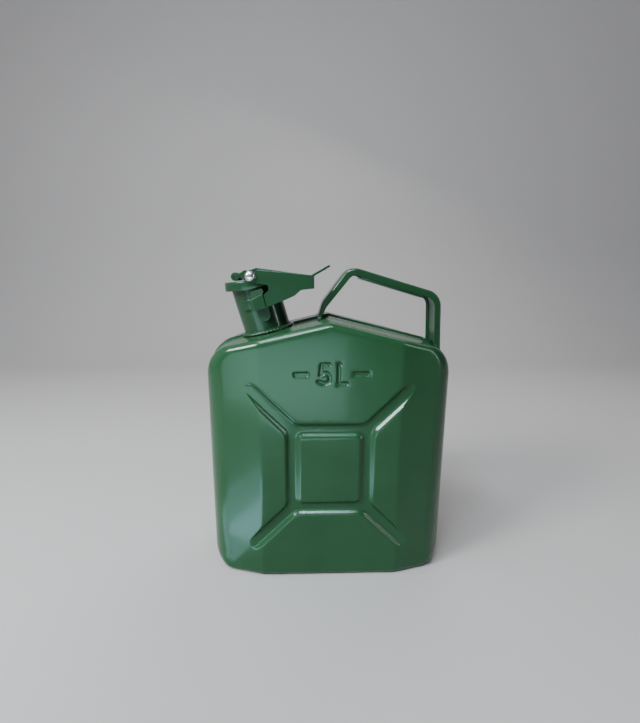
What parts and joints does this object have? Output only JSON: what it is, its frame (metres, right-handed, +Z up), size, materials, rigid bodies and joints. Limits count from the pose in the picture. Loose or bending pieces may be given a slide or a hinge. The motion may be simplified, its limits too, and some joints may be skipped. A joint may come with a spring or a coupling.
{
  "type": "metal jerry can",
  "caption": "Small pressed-steel fuel can with a leaning filler neck, a hinged lid locked by a lever, and a bent carrying handle.",
  "frame": {"origin": "on the floor, under the middle of the whole object's box, in the seam plane", "axes": "+X from the filler neck towards the handle, +Y away from the front panel, +Z up"},
  "size_m": [0.2446, 0.118, 0.31],
  "materials": {
    "green_paint": "glossy dark green enamel over pressed steel",
    "zinc_plate": "bright zinc plate",
    "black_rubber": "matt black rubber"
  },
  "bodies": {
    "can": {"front_shell": "green_paint", "rear_shell": "green_paint", "seam_weld": "green_paint", "neck_tube": "green_paint", "neck_weld_ring": "green_paint", "mouth_ring": "green_paint", "vent_tube": "green_paint", "neck_bracket": "green_paint", "latch_lug_front": "green_paint", "latch_lug_rear": "green_paint", "hinge_pin": "green_paint", "handle_strap": "green_paint", "handle_liner": "green_paint", "handle_weld_left_front": "green_paint", "handle_weld_left_rear": "green_paint", "handle_weld_right_front": "green_paint", "handle_weld_right_rear": "green_paint"},
    "lid": {"lid_dish": "green_paint", "lid_gasket": "black_rubber", "lid_saddle": "green_paint", "hinge_strap": "green_paint", "pivot_axle": "zinc_plate", "pivot_cap_front": "zinc_plate", "pivot_cap_rear": "zinc_plate"},
    "lever": {"lever": "green_paint"}
  },
  "joints": [
    {"name": "lid_open", "type": "hinge", "parent": "can", "child": "lid", "pos_m": [-0.04048, 0, 0.28206], "axis": [0, 1, 0], "range_deg": [0, 95]},
    {"name": "lever_lift", "type": "hinge", "parent": "lid", "child": "lever", "pos_m": [-0.07447, 0, 0.29839], "axis": [0, -1, 0], "range_deg": [0, 95]}
  ],
  "couplings": [
    {"joint": "lever_lift", "follows": "lid_open", "ratio": 1}
  ]
}
